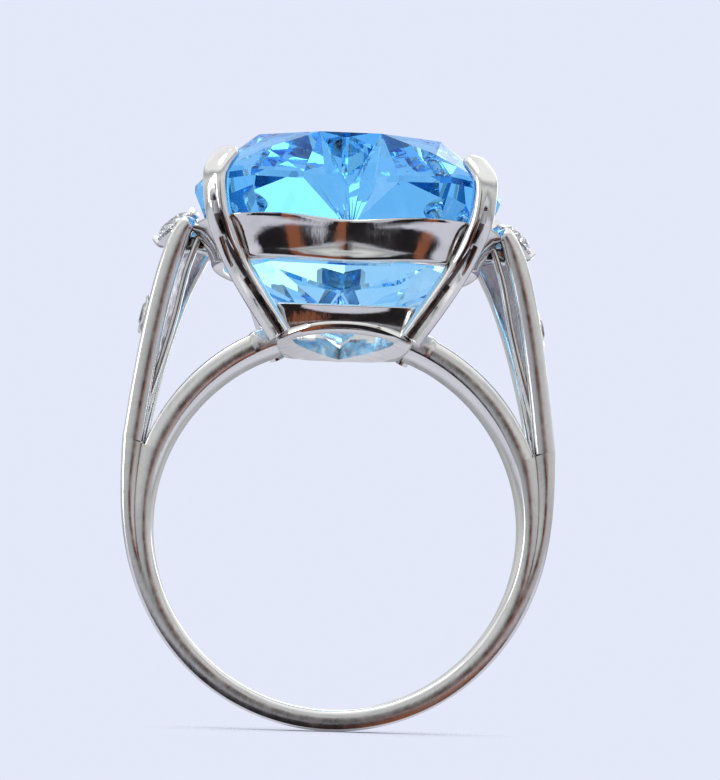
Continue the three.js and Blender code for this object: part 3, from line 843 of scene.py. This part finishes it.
frontSpot, frontOut = outlineSpot(turnNear(claw["frontAside"], True))
rearSpot, rearOut = outlineSpot(turnNear(claw["rearAside"], False))
frontFoot = (baseHigh.x - claw["width"] / 4, baseLow.y, clawLow.z + 0.05)
rearFoot = (baseHigh.x * claw["rearFootShare"], baseHigh.y - claw["rearFootInset"], rearClawLow.z + 0.05)
tipHeight = girdleTop + claw["rise"]
for label, side in (("Left", -1), ("Right", 1)):
    frontPath = clawPath(frontSpot, frontOut, frontFoot, tipHeight)
    rearPath = clawPath(rearSpot, rearOut, rearFoot, tipHeight)
    makeClaw("frontClaw" + label, "front_claw_" + label.lower(), frontPath, frontOut, True, side)
    makeClaw("rearClaw" + label, "rear_claw_" + label.lower(), rearPath, rearOut, False, side)
print("claws made")


# shoulders

shoulder = {
    "railWidth": 0.95,
    "railDepth": 0.9,
    "top": 13.75,
    "topOut": 7.45,
    "frontSpread": 2.05,
    "rearSpread": 3.35,
    "rearInset": 0.85,
    "edge": 0.13,
    "crown": 0.085,
    "plateThickness": 0.55,
    "ribWidth": 0.3,
    "ribDepth": 0.5,
    "ribInset": 0.86,
}
footRadius = shank["holeRadius"] + shank["splitThickness"] - shoulder["railWidth"] / 2
footTurn = math.radians(shank["splitAngle"] + 0.3)
railFoot = Vector((math.cos(footTurn), 0, math.sin(footTurn))) * footRadius
footSpread = shank["splitWidth"] / 2 - shoulder["railDepth"] / 2


def shoulderLine(topOut, topSpread, sign):
    lift = shoulder["top"] - railFoot.z
    swing = railFoot.x - topOut
    stops = ((0, 0, 0), (0.27, 0.16, 0.2), (0.54, 0.36, 0.48), (0.78, 0.6, 0.75),
             (0.94, 0.84, 0.93), (1, 1, 1))
    line = []
    for rise, swung, spread in stops:
        y = lerp(footSpread, topSpread, spread) * sign
        line.append(Vector((railFoot.x - swing * swung, y, railFoot.z + lift * rise)))
    return line


frontLine = shoulderLine(shoulder["topOut"], shoulder["frontSpread"], -1)
rearLine = shoulderLine(shoulder["topOut"] - shoulder["rearInset"], shoulder["rearSpread"], 1)
fingerWay = Vector((0, 1, 0))


def makeShoulderRail(name, node, line, side):
    sign = 1 if line[0].y > 0 else -1
    lead = []  # the band's own curve leads into the rail, so the seam runs straight through
    for angle in (-9, -6, -3):
        turn = footTurn + math.radians(angle)
        reach = footRadius - 0.012 * angle * angle / 3
        lead.append(Vector((math.cos(turn) * reach, line[0].y + 0.06 * angle * math.radians(1) * reach * sign,
                            math.sin(turn) * reach)))
    spots = [spot for spot in framesAlong(lead + line, fingerWay, 90) if spot[0].z > railFoot.z - 0.09]
    outlines = []
    for centre, sideways, outward, along, share in spots:
        taper = lerp(1.0, 0.8, ease((share - 0.88) / 0.12))
        outlines.append([(y * taper, x) for x, y in crownedOutline(
            shoulder["railDepth"] / 2, shoulder["railWidth"] / 2, shoulder["edge"], shoulder["crown"])])
    rings = capped(spots, outlines, 0, 0.3)
    points, faces = skin(mirroredRings(rings, side))
    return piece(name, points, faces, satinMetal, [node], sharp=50)


def makePlate(label, side):
    steps = 48
    front = framesAlong(frontLine, fingerWay, steps)
    rear = framesAlong(rearLine, fingerWay, steps)
    rings = []
    for i in range(1, steps - 1):
        across = rear[i][0] - front[i][0]
        normal = across.cross(front[i][3]).normalized() * (shoulder["plateThickness"] / 2)
        ring = []
        for k in range(9):
            spot = front[i][0].lerp(rear[i][0], k / 8)
            rough = 0.05 * noise.noise(spot * 2.3)
            ring.append(spot + normal * (1 + rough))
        for k in range(8, -1, -1):
            spot = front[i][0].lerp(rear[i][0], k / 8)
            rough = 0.35 * noise.noise(spot * 3.1) + 0.15 * noise.noise(spot * 7.0)
            ring.append(spot - normal * (1 + rough))
        rings.append(ring)
    points, faces = skin(mirroredRings(rings, side))
    node = "shoulder_plate_" + label.lower()
    return piece("shoulderPlate" + label, points, faces, castShadedMetal, [node], sharp=60)


def makeRib(label, side):
    line = []
    for i, p in enumerate(frontLine[:-1]):
        inward = shoulder["ribInset"] * min(1, i / 1.6)
        line.append(Vector((p.x - inward, p.y + shoulder["ribDepth"] * 0.5, p.z)))
    spots = framesAlong(line, fingerWay, 40)
    outline = roundedOutline(shoulder["ribWidth"] / 2, shoulder["ribDepth"] / 2, 0.09, 3)
    rings = capped(spots, [outline] * len(spots), 0.05, 0.1)
    points, faces = skin(mirroredRings(rings, side))
    node = "shoulder_rib_" + label.lower()
    return piece("shoulderRib" + label, points, faces, metal, [node])


def makeBridge(label, side):  # a waisted tie, from the shoulder to the upper rail
    low, high = corners("shoulder_bridge_" + label.lower())
    middle = (low + high) / 2
    halfSpan = (high.x - low.x) / 2
    rings = []
    steps = 24
    for i in range(steps + 1):
        across = i / steps * 2 - 1
        waist = lerp(0.72, 1.0, across * across)
        halfLong, halfTall = (high.y - low.y) / 2 * waist, (high.z - low.z) / 2 * waist
        x = middle.x + side * halfSpan * across
        outline = roundedOutline(halfLong, halfTall, 0.28 * waist, 5)
        rings.append([Vector((x, middle.y + a, middle.z + b)) for a, b in outline])
    points, faces = skin(rings)
    node = "shoulder_bridge_" + label.lower()
    return piece("shoulderBridge" + label, points, faces, metal, [node], sharp=60)


def seatOf(kind, label, lean):  # where a small stone sits and which way it looks
    low, high = corners(kind + "_small_stone_" + label.lower())
    side = -1 if label == "Left" else 1
    turn = math.radians(lean)
    return (low + high) / 2, Vector((side * math.cos(turn), -0.12, math.sin(turn))).normalized()


def around(spot, look, radius, height, steps, shift=0.0):
    side = look.cross(Vector((0, 1, 0))).normalized()
    up = look.cross(side).normalized()
    ring = []
    for i in range(steps):
        turn = 2 * math.pi * (i + shift) / steps
        ring.append(spot + look * height + (side * math.cos(turn) + up * math.sin(turn)) * radius)
    return ring


melee = {
    "upper": {"radius": 1.1, "lean": 50.0, "wall": 0.16},
    "lower": {"radius": 0.74, "lean": 12.0, "wall": 0.2},
}


def makeSmallStone(kind, label):
    look = melee[kind]
    spot, way = seatOf(kind, label, look["lean"])
    r, count = look["radius"], 8
    points, faces = [], []

    def ring(radius, height, steps, shift=0.0):
        start = len(points)
        points.extend(around(spot, way, radius, height, steps, shift))
        return [start + i for i in range(steps)]

    table = ring(r * 0.56, r * 0.36, count)
    star = ring(r * 0.8, r * 0.22, count, 0.5)
    upper = ring(r, r * 0.05, count * 2)
    lower = ring(r, -r * 0.03, count * 2)
    main = ring(r * 0.3, -r * 0.6, count, 0.5)
    points.append(spot - way * r * 0.82)
    culet = len(points) - 1
    faces.append(tuple(table))
    for i in range(count):
        j = (i + 1) % count
        a, b, c = upper[2 * i], upper[2 * i + 1], upper[2 * j]
        faces += [(table[i], table[j], star[i]), (star[i], a, b), (star[i], b, c), (table[j], star[i], c),
                  (table[j], c, star[j])]
        a, b, c = lower[2 * i], lower[2 * i + 1], lower[2 * j]
        faces += [(main[i], a, b), (main[i], b, c), (main[i], c, main[j]), (culet, main[i], main[j])]
    for i in range(count * 2):
        j = (i + 1) % (count * 2)
        faces.append((upper[i], upper[j], lower[j], lower[i]))
    node = kind + "_small_stone_" + label.lower()
    return piece(kind + "SmallStone" + label, points, faces, whiteGem, [node], flat=True)


def makeCollet(kind, label):  # an open cone; the upper one is cut into four V claws, the lower one is beaded
    look = melee[kind]
    spot, way = seatOf(kind, label, look["lean"])
    r, wall = look["radius"], look["wall"]
    steps = 64
    rings = []
    for i in range(steps):
        turn = 2 * math.pi * i / steps
        if kind == "upper":
            dip = 0.5 * abs(math.sin(2 * turn)) ** 0.7
            hook = 0.1 * abs(math.cos(2 * turn)) ** 8
        else:
            dip, hook = 0.06 * abs(math.sin(4 * turn)), 0.05
        profile = []
        for radius, height in ((0.3, -0.95), (0.42, -1.0), (0.72, -0.6), (1.0 + wall / r, -0.1),
                               (1.02 + wall / r, 0.16 - dip), (1.0 + wall * 0.5 / r, 0.26 - dip),
                               (1.0 - hook, 0.24 - dip), (0.99, 0.06 - dip), (0.94, -0.15 - dip * 0.5),
                               (0.6, -0.62), (0.3, -0.88)):
            profile.append(around(spot, way, r * radius, r * height, steps)[i])
        rings.append(profile)
    points, faces = skin(rings, closed=True)
    node = kind + "_collet_" + label.lower()
    return piece(kind + "Collet" + label, points, faces, metal, [node], sharp=60)


def makePointClaw():  # a folded strip that hugs the heart's point
    low, high = corners("point_claw")
    path = [
        Vector((0, high.y - 0.75, low.z)),
        Vector((0, lerp(low.y, high.y, 0.82), lerp(low.z, high.z, 0.3))),
        Vector((0, high.y - 0.3, lerp(low.z, high.z, 0.62))),
        Vector((0, high.y - 0.02, girdleBottom - 0.2)),
        Vector((0, high.y - 0.02, girdleTop + 0.2)),
        Vector((0, high.y - 0.4, high.z)),
    ]
    rings = []
    for centre, sideways, outward, along, share in framesAlong(path, fingerWay, 48):
        half = lerp(0.62, high.x, ease(share))
        fold = lerp(0.35, 1.0, share)
        outer, inner = [], []
        for k in range(-6, 7):
            across = k / 6
            back = fold * half * (math.sqrt(across * across + 0.02) - 0.14)
            outer.append(centre + Vector((across * half, -back, 0)))
            inner.append(centre + Vector((across * half * 0.9, -back - 0.4, 0)))
        rings.append(outer + inner[::-1])
    points, faces = skin(rings)
    return piece("pointClaw", points, faces, metal, ["point_claw"], sharp=50)


for label, side in (("Left", -1), ("Right", 1)):
    makeShoulderRail("frontShoulderRail" + label, "front_shoulder_rail_" + label.lower(), frontLine, side)
    makeShoulderRail("rearShoulderRail" + label, "rear_shoulder_rail_" + label.lower(), rearLine, side)
    makePlate(label, side)
    makeRib(label, side)
    makeBridge(label, side)
    for kind in melee:
        makeSmallStone(kind, label)
        makeCollet(kind, label)
makePointClaw()
print("shoulders made")


# light, floor and camera

studio = {
    "floorSize": 1200.0,
    "floorDrop": 0.02,
    "fadeFrom": 2.0,  # the floor fades out this far from the ring
    "fadeTo": 9.0,
    "floorColour": (0.66, 0.685, 0.80, 1),
    "backdrop": (0.775, 0.81, 0.955, 1),
    "throughStones": (0.85, 0.90, 1.0, 1),
    "paleShare": 0.94,
    "roomLevels": (  # from straight down to straight up
        (0.0, (0.60, 0.60, 0.70)),
        (0.40, (0.66, 0.66, 0.74)),
        (0.47, (0.34, 0.34, 0.36)),
        (0.52, (0.50, 0.51, 0.51)),
        (0.60, (0.72, 0.73, 0.73)),
        (0.66, (0.40, 0.40, 0.42)),
        (0.74, (0.98, 0.98, 0.98)),
        (1.0, (0.90, 0.90, 0.92)),
    ),
    "frontDark": (0.015, 0.013, 0.015),
    "frontBrown": (0.24, 0.085, 0.045),
    # the dark shape in front of the ring: direction from -1 to 1, and how dark it is there
    "bodyAlong": ((-0.52, 1), (-0.4, 0)),
    "bodyHeight": ((-0.93, 0), (-0.84, 1), (-0.24, 1), (-0.13, 0)),
    "bodyAcross": ((-0.62, 0), (-0.52, 1), (0.5, 1), (0.6, 0)),
    "headAlong": ((-0.985, 1), (-0.95, 0)),
    "headAcross": ((-0.12, 0.1), (0.06, 1)),
    "headHeight": ((0.15, 1), (0.2, 0.25)),
    "warmAcross": ((0.1, 0), (0.16, 1), (0.34, 1), (0.42, 0)),
}


def makeFloor():
    height = (shankLow.z - studio["floorDrop"]) * mm
    bpy.ops.mesh.primitive_plane_add(size=studio["floorSize"] * mm, location=(0, 0, height))
    floor = bpy.context.object
    floor.name = "floor"
    material, nodes, links, shader, output = blankMaterial("paleFloor")
    shader.inputs["Base Color"].default_value = studio["floorColour"]
    shader.inputs["Roughness"].default_value = 0.9
    shader.inputs["Specular IOR Level"].default_value = 0.1
    place = nodes.new("ShaderNodeTexCoord")
    away = nodes.new("ShaderNodeVectorMath")
    away.operation = "LENGTH"
    links.new(place.outputs["Object"], away.inputs[0])
    fade = rangeNode(nodes, links, away.outputs["Value"], 0.0, 1.0,
                     studio["fadeFrom"] * mm, studio["fadeTo"] * mm)
    clear = nodes.new("ShaderNodeBsdfTransparent")
    mix = nodes.new("ShaderNodeMixShader")
    links.new(fade.outputs["Result"], mix.inputs["Fac"])
    links.new(shader.outputs["BSDF"], mix.inputs[1])
    links.new(clear.outputs["BSDF"], mix.inputs[2])
    links.new(mix.outputs["Shader"], output.inputs["Surface"])
    floor.data.materials.append(material)
    floor.visible_glossy = floor.visible_transmission = False


def makeWorld():
    world = bpy.data.worlds.new("paleRoom")
    bpy.context.scene.world = world
    world.use_nodes = True
    nodes, links = world.node_tree.nodes, world.node_tree.links
    nodes.clear()
    output = nodes.new("ShaderNodeOutputWorld")
    place = nodes.new("ShaderNodeTexCoord")
    split = nodes.new("ShaderNodeSeparateXYZ")
    links.new(place.outputs["Generated"], split.inputs["Vector"])
    level = rangeNode(nodes, links, split.outputs["Z"], 0.0, 1.0, -1.0, 1.0)
    height = rampNode(nodes, links, level.outputs["Result"], studio["roomLevels"])

    def band(source, stops):  # a mask that follows the stops along one direction
        spread = rangeNode(nodes, links, source, 0.0, 1.0, -1.0, 1.0)
        greys = [((at + 1) / 2, (value, value, value)) for at, value in stops]
        return rampNode(nodes, links, spread.outputs["Result"], greys).outputs["Color"]

    def times(first, second):
        product = nodes.new("ShaderNodeMath")
        product.operation = "MULTIPLY"
        links.new(first, product.inputs[0])
        links.new(second, product.inputs[1])
        return product.outputs["Value"]

    # someone at work in front of the ring: a body below, a head straight ahead, warm on one side
    x, y, z = split.outputs["X"], split.outputs["Y"], split.outputs["Z"]
    body = times(band(y, studio["bodyAlong"]), band(z, studio["bodyHeight"]))
    body = times(body, band(x, studio["bodyAcross"]))
    head = times(band(y, studio["headAlong"]), band(x, studio["headAcross"]))
    head = times(head, band(z, studio["headHeight"]))
    figure = nodes.new("ShaderNodeMath")
    figure.operation = "MAXIMUM"
    links.new(body, figure.inputs[0])
    links.new(head, figure.inputs[1])
    warm = band(x, studio["warmAcross"])
    darks = rampNode(nodes, links, warm, ((0.2, studio["frontDark"]), (0.8, studio["frontBrown"])))
    blend = nodes.new("ShaderNodeMix")
    blend.data_type = "RGBA"
    links.new(figure.outputs["Value"], blend.inputs["Factor"])
    links.new(height.outputs["Color"], blend.inputs["A"])
    links.new(darks.outputs["Color"], blend.inputs["B"])
    room = nodes.new("ShaderNodeBackground")
    links.new(blend.outputs["Result"], room.inputs["Color"])
    seen = nodes.new("ShaderNodeBackground")
    seen.inputs["Color"].default_value = studio["backdrop"]
    through = nodes.new("ShaderNodeBackground")  # the stones look through to a paler room
    through.inputs["Color"].default_value = studio["throughStones"]
    rays = nodes.new("ShaderNodeLightPath")
    pale = nodes.new("ShaderNodeMixShader")
    share = rangeNode(nodes, links, rays.outputs["Is Transmission Ray"], 0.0, studio["paleShare"], 0.0, 1.0)
    links.new(share.outputs["Result"], pale.inputs["Fac"])
    links.new(room.outputs["Background"], pale.inputs[1])
    links.new(through.outputs["Background"], pale.inputs[2])
    choose = nodes.new("ShaderNodeMixShader")
    links.new(rays.outputs["Is Camera Ray"], choose.inputs["Fac"])
    links.new(pale.outputs["Shader"], choose.inputs[1])
    links.new(seen.outputs["Background"], choose.inputs[2])
    links.new(choose.outputs["Shader"], output.inputs["Surface"])


softBoxes = (
    {"name": "topBox", "at": (-40, -50, 120), "size": 90, "power": 0.05},
    {"name": "leftBox", "at": (-120, -60, 20), "size": 70, "power": 0.03},
    {"name": "backBox", "at": (40, 110, 60), "size": 100, "power": 0.03},
)


def makeLights():
    target = (stoneHigh + shankLow) / 2
    for box in softBoxes:
        lamp = bpy.data.lights.new(box["name"], "AREA")
        lamp.shape = "DISK"
        lamp.size = box["size"] * mm
        lamp.energy = box["power"]
        lit = bpy.data.objects.new(box["name"], lamp)
        bpy.context.collection.objects.link(lit)
        lit.location = Vector(box["at"]) * mm
        lit.rotation_mode = "QUATERNION"
        lit.rotation_quaternion = (target * mm - lit.location).to_track_quat("-Z", "Y")


camera = {
    "at": (-3.0, -95.0, -7.9),
    "aim": (0.88, -1.2, 6.25),
    "roll": 1.7,
    "lens": 93.2,
}


def makeCamera():
    data = bpy.data.cameras.new("camera")
    data.lens = camera["lens"]
    data.clip_start, data.clip_end = 0.001, 10
    made = bpy.data.objects.new("camera", data)
    bpy.context.collection.objects.link(made)
    made.location = Vector(camera["at"]) * mm
    look = (Vector(camera["aim"]) - Vector(camera["at"])).to_track_quat("-Z", "Y")
    made.rotation_euler = look.to_euler()
    made.rotation_euler.rotate_axis("Z", math.radians(camera["roll"]))
    bpy.context.scene.camera = made


makeFloor()
makeWorld()
makeLights()
makeCamera()
bpy.context.scene.view_settings.view_transform = "Standard"
bounces = bpy.context.scene.cycles  # the stones need long light paths
bounces.max_bounces = bounces.glossy_bounces = bounces.transmission_bounces = 28
print("floor, light and camera made")
